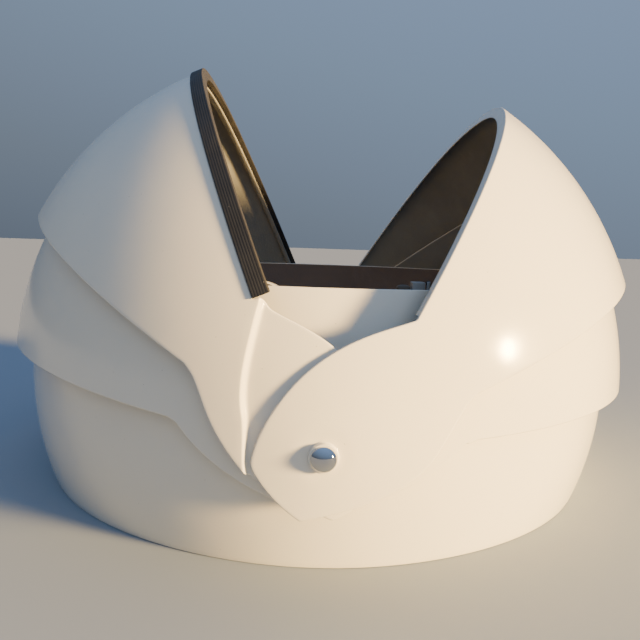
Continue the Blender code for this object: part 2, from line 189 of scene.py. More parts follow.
def weathered(name, wear, patches, runs, dirt, dullness, grains, stretch=None, **constants):
    """a material with cloudy patches, runs, specks of dirt, uneven gloss and a fine grain

    wear: size of the clouds, size of the runs, seed.  patches, runs, dirt: colours and a mask's span.
    dullness: a mask, its span, the roughness at both ends.  grains: texture, scale, detail, strength, depth.
    """
    made = bpy.data.materials.new(name)
    made.use_nodes = True
    tree = made.node_tree
    shader = tree.nodes["Principled BSDF"].inputs
    for socket, value in constants.items():
        shader[socket.replace("_", " ")].default_value = value
    masks = node(tree, "ShaderNodeGroup", zip(("Cloud Size", "Run Size", "Seed"), wear),
                 node_tree=WEATHERING).outputs
    colour = tint(tree, masks["Cloud"], *patches)
    if runs:
        colour = tint(tree, masks["Runs"], colour, *runs)
    tree.links.new(tint(tree, masks["Specks"], colour, *dirt), shader["Base Color"])
    mask, *span = dullness
    tree.links.new(level(tree, masks[mask], *span), shader["Roughness"])
    place = node(tree, "ShaderNodeTexCoord").outputs["Object"]
    if stretch:
        place = out(tree, "ShaderNodeMapping", {"Vector": place, "Scale": stretch})
    bump = {}
    for texture, scale, detail, strength, depth in grains:
        grain = out(tree, "ShaderNodeTex" + texture, {"Vector": place, "Scale": scale, "Detail": detail})
        bump = {"Normal": out(tree, "ShaderNodeBump",
                              {"Height": grain, "Strength": strength, "Distance": depth, **bump})}
    tree.links.new(bump["Normal"], shader["Normal"])
    return made


def inner_paint(name, colour, worn, chalky):
    """paint rolled over bare laminate, with the fibre mat showing through"""
    return weathered(
        name, wear=(3.5, 9.0, 4.0), patches=(colour, worn, 0.35, 0.68), runs=(chalky, 0.55, 0.9),
        dirt=((0.27, 0.24, 0.20), 0.0, 1.4), dullness=("Cloud", 0.3, 0.7, 0.52, 0.72),
        grains=(("Voronoi", 95.0, 0.0, 0.30, 0.0012), ("Noise", 240.0, 3.0, 0.25, 0.0006)),
        Roughness=0.62, IOR=1.45)


GELCOAT = weathered(
    "white_gelcoat", wear=(1.1, 6.0, 0.0), patches=((0.800, 0.750, 0.645), (0.760, 0.710, 0.610), 0.35, 0.65),
    runs=((0.690, 0.640, 0.540), 0.60, 0.95), dirt=((0.33, 0.29, 0.24), 0.0, 1.6),
    dullness=("Runs", 0.35, 0.8, 0.13, 0.30),
    grains=(("Noise", 3.2, 2.0, 0.35, 0.006), ("Noise", 260.0, 1.0, 0.05, 0.0005)),
    Roughness=0.16, Coat_Weight=0.5, Coat_Roughness=0.11, IOR=1.52)
PAINT = inner_paint("shell_paint", (0.262, 0.254, 0.228), (0.325, 0.314, 0.280), (0.385, 0.370, 0.330))
BASE_PAINT = inner_paint("base_paint", (0.220, 0.172, 0.148), (0.265, 0.212, 0.182), (0.320, 0.262, 0.226))


def made_real(tree, geometry, look):
    """copies made real, in one material"""
    real = out(tree, "GeometryNodeRealizeInstances", {"Geometry": geometry})
    return out(tree, "GeometryNodeSetMaterial", {"Geometry": real, "Material": look})


def mould_tree():
    """bends a sheet laid flat (x, y, depth) over the dome's surface, and adds its mirror image at the back

    The distance from the flat centre is the angle from the hub, times the dome's radius.
    """
    tree, given, result = group_tree(
        "dome_mould", "GeometryNodeTree",
        [("Sheet", "Geometry", None), ("Radius", "Float", DOME_RADIUS),
         ("Half Depth", "Float", DOME_HALF_DEPTH), ("Cheek Power", "Float", CHEEK_POWER),
         ("Round Power", "Float", ROUND_POWER), ("Hub Face", "Float", HUB_FACE), ("Turn", "Float", 0.0),
         ("Axle", "Vector", AXLE), ("Outside", "Material", None), ("Inside", "Material", None)],
        [("Shell", "Geometry")])

    def do(operation, *values):
        return calc(tree, operation, *values)

    def length(a, b):
        return do("SQRT", do("MULTIPLY_ADD", a, a, do("MULTIPLY", b, b)))

    def steepness(power, size, share):
        return do("MULTIPLY", do("DIVIDE", power, size), do("POWER", share, do("SUBTRACT", power, 1.0)))

    def pushed_in(share, size, slope):
        return do("SUBTRACT", do("MULTIPLY", share, size), do("MULTIPLY", inwards, slope))

    position = out(tree, "GeometryNodeInputPosition")
    spot = node(tree, "ShaderNodeSeparateXYZ", {"Vector": position}).outputs
    from_centre = length(spot[0], spot[1])
    angle = do("DIVIDE", from_centre, given["Radius"])
    cosine = do("MAXIMUM", do("COSINE", angle), 0.0)
    height = do("POWER", cosine, do("DIVIDE", 2.0, given["Cheek Power"]))
    reach = do("POWER", do("SINE", angle), do("DIVIDE", 2.0, given["Round Power"]))
    rise = steepness(given["Cheek Power"], given["Half Depth"], height)
    run = steepness(given["Round Power"], given["Radius"], reach)
    inwards = do("DIVIDE", spot[2], length(rise, run))
    radius = pushed_in(reach, given["Radius"], run)
    depth = pushed_in(height, given["Half Depth"], rise)
    depth = do("MINIMUM", depth, do("SUBTRACT", given["Hub Face"], spot[2]))
    share = do("DIVIDE", radius, do("MAXIMUM", from_centre, 1e-6))
    bent = out(tree, "ShaderNodeCombineXYZ",
               {"X": do("MULTIPLY", spot[0], share), "Y": do("MULTIPLY", depth, -1.0),
                "Z": do("MULTIPLY", spot[1], share)})
    front = out(tree, "GeometryNodeSetPosition", {"Geometry": given["Sheet"], "Position": bent})
    mirrored = out(tree, "GeometryNodeTransform", {"Geometry": front, "Scale": (1.0, -1.0, 1.0)})
    back = out(tree, "GeometryNodeFlipFaces", {"Mesh": mirrored})
    both = tree.nodes.new("GeometryNodeJoinGeometry")
    tree.links.new(front, both.inputs[0])
    tree.links.new(back, both.inputs[0])
    whole = out(tree, "GeometryNodeMergeByDistance", {"Geometry": both.outputs[0], "Distance": SEAM_WELD})
    turn = out(tree, "ShaderNodeCombineXYZ", {"Y": given["Turn"]})
    turned = out(tree, "GeometryNodeTransform",
                 {"Geometry": whole, "Rotation": turn, "Translation": given["Axle"]})
    coated = made_real(tree, turned, given["Outside"])
    painted = out(tree, "GeometryNodeInputNamedAttribute", {"Name": "painted"}, data_type="BOOLEAN")
    inside = out(tree, "GeometryNodeSetMaterial",
                 {"Geometry": coated, "Selection": painted, "Material": given["Inside"]})
    tree.links.new(inside, result["Shell"])
    return tree


MOULD = mould_tree()


def smooth(mesh, crease):
    """smooth shading, with edges sharper than an angle in degrees kept crisp"""
    mesh.shade_smooth()
    mesh.set_sharp_from_angle(angle=radians(crease))


def built(name, mesh, tree, **inputs):
    """a plain mesh object made by running a mesh through a Geometry Nodes tree"""
    raw = add_object(name + "_sheet", mesh)
    step = raw.modifiers.new("build", "NODES")
    step.node_group = tree
    names = {s.name: s.identifier for s in tree.interface.items_tree if s.in_out == "INPUT"}
    for socket, value in inputs.items():
        step[names[socket]] = value
    view = bpy.context.evaluated_depsgraph_get()
    solid = bpy.data.meshes.new_from_object(raw.evaluated_get(view), preserve_all_data_layers=True,
                                            depsgraph=view)
    bpy.data.objects.remove(raw)
    solid.name = name
    smooth(solid, 50)
    return add_object(name, solid)


def moulded(name, points, faces, painted, turn, outside, inside):
    """a flat sheet's points and faces bent to the dome's shape, and turned about the axle"""
    mesh = bpy.data.meshes.new(name)
    mesh.from_pydata(points.tolist(), [], faces)
    mesh.attributes.new("painted", "BOOLEAN", "FACE").data.foreach_set("value", painted)
    return built(name, mesh, MOULD, Turn=radians(turn), Outside=outside, Inside=inside)


def layer(angle, inset):
    """(radius, depth) on the layer that lies inset inside the dome's surface, angle from the hub"""
    height = np.maximum(np.cos(angle), 0.0) ** (2 / CHEEK_POWER)
    reach = np.sin(angle) ** (2 / ROUND_POWER)
    rise = CHEEK_POWER / DOME_HALF_DEPTH * height ** (CHEEK_POWER - 1)
    run = ROUND_POWER / DOME_RADIUS * reach ** (ROUND_POWER - 1)
    slope = np.sqrt(rise ** 2 + run ** 2)
    return reach * DOME_RADIUS - inset * run / slope, height * DOME_HALF_DEPTH - inset * rise / slope


ANGLES = np.linspace(0.0, pi / 2, 4001)
SEAM = DOME_RADIUS * pi / 2


def laid_flat(x, z, inset):
    """where points of a layer, seen along the axle, lie on the flat sheet"""
    x, z = np.broadcast_arrays(np.asarray(x, float), np.asarray(z, float))
    radius = np.hypot(x, z)
    angle = np.interp(radius, layer(ANGLES, inset)[0], ANGLES)
    share = angle * DOME_RADIUS / np.maximum(radius, 1e-9)
    return np.stack([x * share, z * share], -1)


def level_edge(z, inset):
    """a level cut at height z over the axle, from the seam at the left to the seam at the right"""
    end = np.sqrt(layer(pi / 2, inset)[0] ** 2 - z * z)
    return laid_flat(end * np.sin(np.linspace(-pi / 2, pi / 2, LEVEL_POINTS)), z, inset)


def polyline_gap(points, line):
    """how far points lie from a polyline, and on which side of it (plus is to its left)"""
    best = np.full(len(points), 1e9)
    side = np.ones(len(points))
    for a, b in zip(line[:-1], line[1:]):
        along = b - a
        t = np.clip(((points - a) @ along) / max(along @ along, 1e-18), 0, 1)
        gap = np.hypot(*(points - a - t[:, None] * along).T)
        nearer = gap < best - 1e-12
        cross = along[0] * (points - a)[:, 1] - along[1] * (points - a)[:, 0]
        best = np.where(nearer, gap, best)
        side = np.where(nearer, np.sign(cross), side)
    return best, side


def beside(line, distance):
    """a line drawn alongside another, to its left, carried a little past both ends"""
    step = np.diff(line, axis=0)
    step /= np.hypot(*step.T)[:, None]
    normal = np.stack([-step[:, 1], step[:, 0]], -1)
    before, after = np.vstack([normal[:1], normal]), np.vstack([normal, normal[-1:]])
    middle = before + after
    middle /= np.maximum((middle * before).sum(1), MITRE_LIMIT)[:, None]
    moved = line + middle * distance
    moved[0] -= step[0] * LINE_OVERRUN
    moved[-1] += step[-1] * LINE_OVERRUN
    return moved


def inside_loop(points, loop):
    count = np.zeros(len(points), int)
    for a, b in zip(loop, np.roll(loop, -1, 0)):
        crosses = (a[1] > points[:, 1]) != (b[1] > points[:, 1])
        rise = 1e-12 if b[1] == a[1] else b[1] - a[1]
        count += crosses & (points[:, 0] < a[0] + (points[:, 1] - a[1]) * (b[0] - a[0]) / rise)
    return count % 2 == 1


def flat_sheet(edges, creases):
    """triangles over a sheet: free edges run anticlockwise, with seams where one ends and the next starts"""
    loop = []
    for edge, after in zip(edges, edges[1:] + edges[:1]):
        loop += list(edge)
        first, last = np.arctan2(*edge[-1]), np.arctan2(*after[0])
        sweep = (last - first + pi) % (2 * pi) - pi
        count = max(int(abs(sweep) * SEAM / SHEET_STEP), 2)
        seam = [first + sweep * i / count for i in range(1, count)]
        loop += [np.array((SEAM * sin(angle), SEAM * cos(angle))) for angle in seam]
    loop = np.array(loop)
    lines = [beside(edge, gap) for edge in edges for gap in ROUNDING_LINES] + creases
    low, high = loop.min(0), loop.max(0)
    grid = np.array([(x + SHEET_STEP / 2 * (i % 2), y)
                     for i, y in enumerate(np.arange(low[1], high[1], ROW_STEP))
                     for x in np.arange(low[0], high[0], SHEET_STEP)])
    grid = grid[inside_loop(grid, loop)]
    for line in [np.vstack([loop, loop[:1]])] + lines:
        grid = grid[polyline_gap(grid, line)[0] > LINE_CLEARANCE]
    points, links = list(loop), [(i, (i + 1) % len(loop)) for i in range(len(loop))]
    for line in lines:
        links += [(len(points) + i, len(points) + i + 1) for i in range(len(line) - 1)]
        points += list(line)
    points += list(grid)
    found, _, faces = delaunay_2d_cdt([Vector(p) for p in points], links, [], 1, 1e-6)[:3]
    flat = np.array([(p.x, p.y) for p in found])
    faces = np.array(faces)
    faces = faces[inside_loop(flat[faces].mean(1), loop)]
    used = np.unique(faces)
    renumber = np.zeros(len(flat), int)
    renumber[used] = np.arange(len(used))
    flat, faces = flat[used], renumber[faces]
    radius = np.hypot(*flat.T)
    at_seam = radius > SEAM - SEAM_SLACK
    flat[at_seam] *= (SEAM / radius[at_seam])[:, None]
    (ax, ay), (bx, by), (cx, cy) = (flat[faces[:, k]].T for k in range(3))
    turned = (bx - ax) * (cy - ay) - (by - ay) * (cx - ax) < 0
    faces[turned] = faces[turned][:, ::-1]
    return flat, faces, at_seam


def laminate(name, edges, inset, step=None, creases=(), wrap=0.010, turn=0.0, mirror=False, paint=PAINT):
    """a moulded shell: outer skin, rounded free edges and inner skin, painted inside up to the wrap"""
    flat, faces, at_seam = flat_sheet(edges, list(creases) + [beside(edge, wrap) for edge in edges])
    gap = np.min([polyline_gap(flat, edge)[0] for edge in edges], 0)
    rounding = [r - np.sqrt(np.maximum(r ** 2 - np.maximum(r - gap, 0) ** 2, 0))
                for r in (OUTER_ROUND, INNER_ROUND)]
    outer = inset + rounding[0] + (step(flat, 0.0) if step else 0.0)
    inner = inset + LAMINATE - rounding[1] + (step(flat, INNER_STEP_SHIFT) if step else 0.0)
    count = len(flat)
    sides = dict.fromkeys((face[k], face[(k + 1) % 3]) for face in faces.tolist() for k in range(3))
    walls = [(i, i + count, j + count, j) for i, j in sides
             if (j, i) not in sides and not (at_seam[i] and at_seam[j])]
    skin = faces.tolist() + (faces[:, ::-1] + count).tolist() + walls
    points = np.vstack([np.column_stack([flat, outer]), np.column_stack([flat, inner])])
    middle = flat[faces].mean(1)
    inside = np.min([polyline_gap(middle, edge)[0] for edge in edges], 0) > wrap
    painted = [False] * len(faces) + inside.tolist() + [False] * len(walls)
    if mirror:
        points[:, 0] *= -1
        skin = [face[::-1] for face in skin]
    return moulded(name, points, skin, painted, turn, GELCOAT, paint)


base_edges = [level_edge(-BASE_HALF_HEIGHT, BASE_INSET), level_edge(BASE_HALF_HEIGHT, BASE_INSET)[::-1]]
base_wall = laminate("base_wall", base_edges, BASE_INSET, wrap=0.003, paint=BASE_PAINT)
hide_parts("front_base_wall", "back_base_wall", "left_base_wall", "right_base_wall")
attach(base_wall, "base")


# Foot flange.  The level band, 8 mm thick, that the base turns inwards at the ground to stand on.
# It is laid up in one with the wall, so its inner edge is a rounded, slightly uneven laminate edge.
FOOT_WIDTH = 0.060
FOOT_THICKNESS = 0.008


def at_depth(line, depth):
    """a line on the flat sheet, as points (x, y, depth)"""
    return np.column_stack([line, np.full(len(line), depth)])


def ring_faces(rows, count, steps):
    """four-cornered faces from each row of points to the next, and from the last row to the first"""
    return [(i * count + j, i * count + (j + 1) % count, (i + 1) % rows * count + (j + 1) % count,
             (i + 1) % rows * count + j) for i in range(rows) for j in range(steps)]


def face_outwards(piece):
    shape = bmesh.new()
    shape.from_mesh(piece.data)
    bmesh.ops.recalc_face_normals(shape, faces=shape.faces)
    shape.to_mesh(piece.data)
    shape.free()


def band(name, lines, painted_from, closed_start=False, turn=0.0, mirror=False, outside=GELCOAT,
         inside=PAINT):
    """a long strip: lines are the corners of its section, each a row of (x, y, depth) points laid flat"""
    rows, count = len(lines), len(lines[0])
    points = np.concatenate(lines)
    faces = ring_faces(rows, count, count - 1)
    painted = [i >= painted_from for i in range(rows) for j in range(count - 1)]
    if closed_start:
        faces.append(tuple(i * count for i in range(rows)))
        painted.append(False)
    if mirror:
        points[:, 0] *= -1
    piece = moulded(name, points, faces, painted, turn, outside, inside)
    face_outwards(piece)
    return piece


foot_low, foot_in = -BASE_HALF_HEIGHT, BASE_INSET + LAMINATE
foot_section = [(0.0, -0.002), (0.0, 0.020), (0.0, 0.040), (0.0, FOOT_WIDTH - 0.003),
                (0.001, FOOT_WIDTH - 0.0008), (0.003, FOOT_WIDTH), (0.0055, FOOT_WIDTH - 0.0006),
                (FOOT_THICKNESS - 0.0008, FOOT_WIDTH - 0.003), (FOOT_THICKNESS, FOOT_WIDTH - 0.006),
                (FOOT_THICKNESS, 0.030), (FOOT_THICKNESS, 0.010), (FOOT_THICKNESS + 0.0025, 0.0035),
                (FOOT_THICKNESS + 0.009, -0.002)]
foot_lines = [at_depth(level_edge(foot_low + rise, foot_in + width), foot_in + width)
              for rise, width in foot_section]
foot = band("foot_flange", foot_lines, painted_from=5, inside=BASE_PAINT)
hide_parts("front_foot_flange", "back_foot_flange", "left_foot_flange", "right_foot_flange")
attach(foot, "base")


# Middle shells.  One at each side, moulded the same way, each hanging from the axle by a blade at
# either cheek.  They lie 40 mm inside the upper shells, and the right one has a round dish at the
# hub so that the left one's blade can lie in it.
MIDDLE_INSET = 0.046
MIDDLE_RIM = {"left": 34.7, "right": 34.9}
MIDDLE_LOWER = {"left": 72.05, "right": 73.7}
MIDDLE_TURN = {"left": -11.45, "right": 15.3}
MIDDLE_EDGES_START = 0.352
OUTWARD_POINTS = 70
DISH_RADIUS = 0.172
DISH_SECTION = ((-0.008, -0.005, 0.0, 0.004, 0.008, 0.012), (0.0, 0.0009, 0.0055, 0.0100, 0.0124, 0.013))


def polar(distance, angle):
    return (distance * sin(radians(angle)), distance * cos(radians(angle)))


def bends(*knots, pieces=16):
    """points along Bezier stretches given as fractions of the dome's radius"""
    made = []
    for i in range(0, len(knots) - 3, 3):
        stretch = interpolate_bezier(*[Vector((*p, 0.0)) * DOME_RADIUS for p in knots[i:i + 4]], pieces)
        made += [(p.x, p.y) for p in stretch[:-1]]
    return made + [tuple(c * DOME_RADIUS for c in knots[-1])]


def softened(points, passes=2):
    """a line with its corners cut, its ends kept"""
    for _ in range(passes):
        cut = [points[0]]
        for a, b in zip(points[:-1], points[1:]):
            cut += [(a[0] * 0.75 + b[0] * 0.25, a[1] * 0.75 + b[1] * 0.25),
                    (a[0] * 0.25 + b[0] * 0.75, a[1] * 0.25 + b[1] * 0.75)]
        points = cut + [points[-1]]
    return points


def straight_out(angle, start, inset):
    """an edge that runs straight away from the axle, from a distance to the seam"""
    end = float(layer(pi / 2, inset)[0])
    run = start + (end - start) * np.sin(np.linspace(0, pi / 2, OUTWARD_POINTS))
    return laid_flat(run * sin(radians(angle)), run * cos(radians(angle)), inset)


def middle_edge(side):
    rim, lower = MIDDLE_RIM[side], MIDDLE_LOWER[side]
    blade = [polar(0.345, rim), polar(0.325, rim + 0.2)]
    blade += bends((0.1600, 0.2330), (0.060, 0.130), (-0.105, 0.130), (-0.105, 0.0),
                   (-0.105, -0.060), (-0.100, -0.090), (-0.060, -0.108),
                   (-0.030, -0.122), (0.000, -0.130), (0.035, -0.125),
                   (0.150, -0.090), (0.250, 0.010), (0.286, 0.080))
    blade += [polar(0.322, lower + 1.4), polar(0.345, lower)]
    foot = laid_flat(*np.array(softened(blade)).T, MIDDLE_INSET)
    rim, lower = (straight_out(angle, MIDDLE_EDGES_START, MIDDLE_INSET) for angle in (rim, lower))
    return np.vstack([rim[::-1], foot, lower])


def dish(flat, shift):
    """how deep the right middle shell is pressed in round the hub"""
    return np.interp(DISH_RADIUS - np.hypot(*flat.T) - shift, *DISH_SECTION)


round_about = np.linspace(0, 2 * pi, 97)
circle = np.stack([np.sin(round_about), np.cos(round_about)])
dish_lines = [laid_flat(*(circle * (DISH_RADIUS - gap)), MIDDLE_INSET)
              for gap in (-0.008, -0.005, -0.0025, 0.0, 0.002, 0.004, 0.006, 0.008, 0.012)]
for side, step, creases in (("left", None, ()), ("right", dish, dish_lines)):
    shell = laminate(side + "_middle_skin", [middle_edge(side)], MIDDLE_INSET, step, creases, wrap=0.006,
                     turn=MIDDLE_TURN[side], mirror=side == "left")
    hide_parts(side + "_middle_shell")
    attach(shell, side + "_middle")


# Upper shells.  The two that meet over the top: the right one's blade is the outermost face of the
# cheek, and the left one's is pressed 13 mm inwards at a long curved ridge, so as to lie behind it.
UPPER_LOWER = {"left": 37.4, "right": 38.7}
UPPER_TURN = {"left": -22.9, "right": 30.6}
RIM = {"left": 0.023, "right": 0.019}
RIM_POINTS = 80
BLADE_TOP = 0.352
BLADE_EDGE = {"left": 0.1846, "right": 0.193}
BLADE_HOOK = ((-0.127, 0.015), (-0.127, -0.030), (-0.120, -0.062), (-0.111, -0.084),
              (-0.105, -0.096), (-0.098, -0.100), (-0.088, -0.105),
              (-0.050, -0.124), (-0.010, -0.135), (0.034, -0.138))
RIDGE_STEP = 0.012
RIDGE_SECTION = ((-0.006, -0.004, -0.002, 0.0, 0.003, 0.0055, 0.008, 0.011, 0.015),
                 (0.0, 0.00015, 0.0010, 0.0032, 0.0074, 0.0103, 0.0121, 0.01285, 0.013))


def beside_rim(x, start, inset):
    """the straight rim of an upper shell, from a height over the axle to the seam"""
    end = np.sqrt(layer(pi / 2, inset)[0] ** 2 - x * x)
    return laid_flat(x, start + (end - start) * np.sin(np.linspace(0, pi / 2, RIM_POINTS)), inset)


def upper_edge(side):
    x, lower, blade_x = RIM[side], UPPER_LOWER[side], BLADE_EDGE[side]
    if side == "left":
        top = [(x, BLADE_TOP), (x, 0.3445), (0.0105, 0.3445), (0.005, 0.340), (0.0005, 0.333),
               (-0.0004, 0.325), (-0.004, 0.3156)]
        across = ((-0.0166, 0.2800), (-0.078, 0.214), (-0.136, 0.160), (-0.127, 0.015))
        under = ((0.034, -0.138), (0.0794, -0.0888), (0.1262, -0.0374), (0.1546, 0.0137),
                 (0.1645, 0.0374), (0.1822, 0.0935), (blade_x, 0.1495))
    else:
        top = [(x, BLADE_TOP), (x, 0.340), (x, 0.3335), (0.0175, 0.3296), (0.012, 0.3236)]
        across = ((-0.0198, 0.2689), (-0.0774, 0.2064), (-0.127, 0.130), (-0.127, 0.015))
        under = ((0.034, -0.138), (0.100, -0.070), (blade_x, 0.020), (blade_x, 0.120))
    blade = top + bends(*across) + bends(*BLADE_HOOK)[1:] + bends(*under)[1:]
    blade_x *= DOME_RADIUS
    corner = blade_x / sin(radians(lower))
    height = corner * cos(radians(lower))
    blade += [(blade_x, height - 0.022), (blade_x + 0.004, height - 0.006), polar(corner + 0.016, lower),
              polar(corner + 0.022, lower)]
    foot = laid_flat(*np.array(softened(blade, 1)).T, 0.0)
    rim = beside_rim(x, BLADE_TOP + 0.002, 0.0)
    return np.vstack([rim[::-1], foot, straight_out(lower, corner + 0.024, 0.0)])


def spread(points, step):
    """points along a line, no further apart than a step"""
    made = [points[0]]
    for a, b in zip(points[:-1], points[1:]):
        pieces = max(int(np.hypot(b[0] - a[0], b[1] - a[1]) / step), 1)
        made += [(a[0] + (b[0] - a[0]) * i / pieces, a[1] + (b[1] - a[1]) * i / pieces)
                 for i in range(1, pieces + 1)]
    return made


ridge = bends((0.0056, 0.3178), (0.0701, 0.2290), (0.1047, 0.1776), (0.1145, 0.1280),
              (0.1215, 0.0935), (0.1449, 0.0561), (0.1547, 0.0154))
ridge = [(-0.045, 0.406)] + ridge + [(0.205, -0.045)]
RIDGE = laid_flat(*np.array(spread(ridge, RIDGE_STEP)).T, 0.0)


def ridge_step(flat, shift):
    """how deep the left blade is pressed in beside the ridge: a rounded crest, a steep face, a soft foot"""
    gap, side = polyline_gap(flat, RIDGE)
    return np.interp(-gap * side - shift, *RIDGE_SECTION)


ridge_lines = [beside(RIDGE, -gap)
               for gap in (-0.006, -0.004, -0.002, 0.0, 0.0015, 0.003, 0.0055, 0.008, 0.011, 0.015)]
for side, step, creases in (("left", ridge_step, ridge_lines), ("right", None, ())):
    shell = laminate(side + "_upper_skin", [upper_edge(side)], 0.0, step, creases,
                     turn=UPPER_TURN[side], mirror=side == "left")
    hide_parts(side + "_upper_shell")
    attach(shell, side + "_upper")


# Rim flanges.  A band 38 mm deep stands inwards under each upper rim, laminated to the shell.  The
# right one is plain.  The left one is turned out again at its inner edge, as a channel for the seal.
BAND_START = {"left": 0.345, "right": 0.340}


def rim_line(x, depth, side):
    return at_depth(beside_rim(x, BAND_START[side], depth), depth)


right_section = [(0.0193, 0.0035), (0.0193, 0.012), (0.0193, 0.024), (0.0193, 0.0360), (0.0197, 0.0374),
                 (0.0207, 0.0380), (0.0238, 0.0380), (0.0248, 0.0374), (0.0252, 0.0360), (0.0252, 0.0140),
                 (0.0262, 0.0095), (0.0300, 0.0062), (0.0300, 0.0035)]
left_section = [(0.0233, 0.0035), (0.0233, 0.018), (0.0233, 0.0321), (0.0160, 0.0321), (0.0105, 0.0321),
                (0.0091, 0.0326), (0.0085, 0.0340), (0.0085, 0.0362), (0.0091, 0.0375), (0.0105, 0.0380),
                (0.0140, 0.0380), (0.0160, 0.0375), (0.0225, 0.0352), (0.0270, 0.0334), (0.0286, 0.0318),
                (0.0292, 0.0295), (0.0292, 0.0140), (0.0302, 0.0095), (0.0340, 0.0062), (0.0340, 0.0035)]
for side, section, painted_from in (("left", left_section, 0), ("right", right_section, 6)):
    flange = band(side + "_rim_band", [rim_line(x, depth, side) for x, depth in section], painted_from,
                  closed_start=True, turn=UPPER_TURN[side], mirror=side == "left")
    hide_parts(side + "_rim_flange")
    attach(flange, side + "_upper")


# Rim seal.  An extruded strip of dark rubber, 36 mm square, glued to the left flange all the way over
# the top: six ribs run along its outer face and four along the face that meets the right shell,
# and short ribs cross its inner face.  Both of its ends are cut square.
SEAT_GAP = 0.0003
SEAL_BACK = RIM["left"] - SEAT_GAP
SEAL_WIDTH = 0.0365
SEAL_OUT, SEAL_IN = -0.006, 0.0318
SEAL_FRONT = SEAL_BACK - SEAL_WIDTH
OUTER_RIBS, OUTER_RIB = 6, 0.0006
FRONT_RIBS, FRONT_RIB = 4, 0.0012
CROSS_RIBS_START, CROSS_RIBS_SPACING = 0.36, 12


def seal_rubber(name, colour, bloomed, dusty):
    """moulded black rubber, gone grey in patches, with dust in its runs"""
    return weathered(
        name, wear=(6.0, 14.0, 2.0), patches=(colour, bloomed, 0.35, 0.65), runs=(dusty, 0.52, 0.85),
        dirt=((0.18, 0.16, 0.14), 0.0, 1.2), dullness=("Runs", 0.3, 0.8, 0.56, 0.78),
        grains=(("Noise", 420.0, 2.0, 0.3, 0.0004),), Roughness=0.66, IOR=1.42)


# Two copies of one rubber.  The first, for the outer face, is dark rubber made darker and a little cooler
# still: painted shade, since the low lamp lights that face.  The second is lighter and warmer: painted light
# that lifts the meeting and inner faces where they sit in shade.
RUBBER = seal_rubber("seal_rubber", (0.0145, 0.0150, 0.0175), (0.0230, 0.0234, 0.0262),
                     (0.040, 0.0385, 0.0400))
SHADE_LIFTED_RUBBER = seal_rubber("shade_lifted_rubber", (0.0240, 0.0225, 0.0220), (0.0370, 0.0345, 0.0335),
                          (0.058, 0.0545, 0.0525))
outer_face = [(SEAL_BACK - SEAL_WIDTH * t, SEAL_OUT + OUTER_RIB * (1 - abs(sin(OUTER_RIBS * pi * t))) ** 2)
              for t in np.linspace(0.0, 1.0, 37)]
front_face = [(SEAL_FRONT + FRONT_RIB * (1 - abs(sin(FRONT_RIBS * pi * t))) ** 1.6,
               SEAL_OUT + 0.0013 + (SEAL_IN - SEAL_OUT - 0.002) * t) for t in np.linspace(0.02, 1.0, 25)]
inner_face = [(x, SEAL_IN) for x in (SEAL_FRONT + 0.003, SEAL_FRONT + 0.012, SEAL_BACK - 0.012, SEAL_BACK)]
seal_lines = [rim_line(x, depth, "left") for x, depth in outer_face + front_face + inner_face]
# The meeting face and the inner face take the lighter copy of the rubber, as painted light in their shade.
seal = band("rim_seal_strip", seal_lines, len(outer_face) - 1, closed_start=True, turn=UPPER_TURN["left"],
            mirror=True, outside=RUBBER, inside=SHADE_LIFTED_RUBBER)
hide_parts("rim_seal")
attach(seal, "left_upper")


def copies(tree, points, piece, rotation, look, result):
    """ends a tree with copies of a piece on its points"""
    placed = out(tree, "GeometryNodeInstanceOnPoints",
                 {"Points": points, "Instance": piece, "Rotation": rotation})
    tree.links.new(made_real(tree, placed, look), result[0])
    return tree


def tooth_tree():
    """short round ribs across a path, one every few millimetres"""
    tree, given, result = group_tree(
        "cross_ribs", "GeometryNodeTree",
        [("Path", "Geometry", None), ("Pitch", "Float", 0.006), ("Length", "Float", 0.014),
         ("Radius", "Float", 0.0012), ("Tilt", "Float", 0.0), ("Finish", "Material", None)],
        [("Ribs", "Geometry")])
    line = out(tree, "GeometryNodeMeshToCurve", {"Mesh": given["Path"]})
    spots = out(tree, "GeometryNodeResampleCurve", {"Curve": line, "Length": given["Pitch"]}, mode="LENGTH")
    rib = out(tree, "GeometryNodeMeshCylinder",
              {"Vertices": 8, "Radius": given["Radius"], "Depth": given["Length"]})
    tilt = out(tree, "ShaderNodeCombineXYZ", {"Y": given["Tilt"]})
    return copies(tree, spots, rib, tilt, given["Finish"], result)


rib_x = SEAL_FRONT + 0.0075
rib_angles = ANGLES[layer(ANGLES, SEAL_IN)[0] > CROSS_RIBS_START][::CROSS_RIBS_SPACING]
rib_radius, rib_depth = layer(rib_angles, SEAL_IN + 0.0002)
rib_height = np.sqrt(rib_radius ** 2 - rib_x ** 2)
lean = radians(UPPER_TURN["left"])
front_half = np.column_stack([-rib_x * cos(lean) + rib_height * sin(lean), -rib_depth,
                              rib_x * sin(lean) + rib_height * cos(lean)])
back_half = front_half[:-1][::-1] * (1, -1, 1)
rib_path = bpy.data.meshes.new("rib_path")
rib_points = np.vstack([front_half, back_half]) + np.array(AXLE)
rib_path.from_pydata(rib_points.tolist(), [(i, i + 1) for i in range(len(rib_points) - 1)], [])
# The ribs take the lighter copy of the rubber too, painted light on the shaded inner face.
ribs = built("seal_cross_ribs", rib_path, tooth_tree(),
             Pitch=0.0055, Length=0.0135, Radius=0.0013, Tilt=pi / 2 + lean, Finish=SHADE_LIFTED_RUBBER)
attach(ribs, "left_upper")


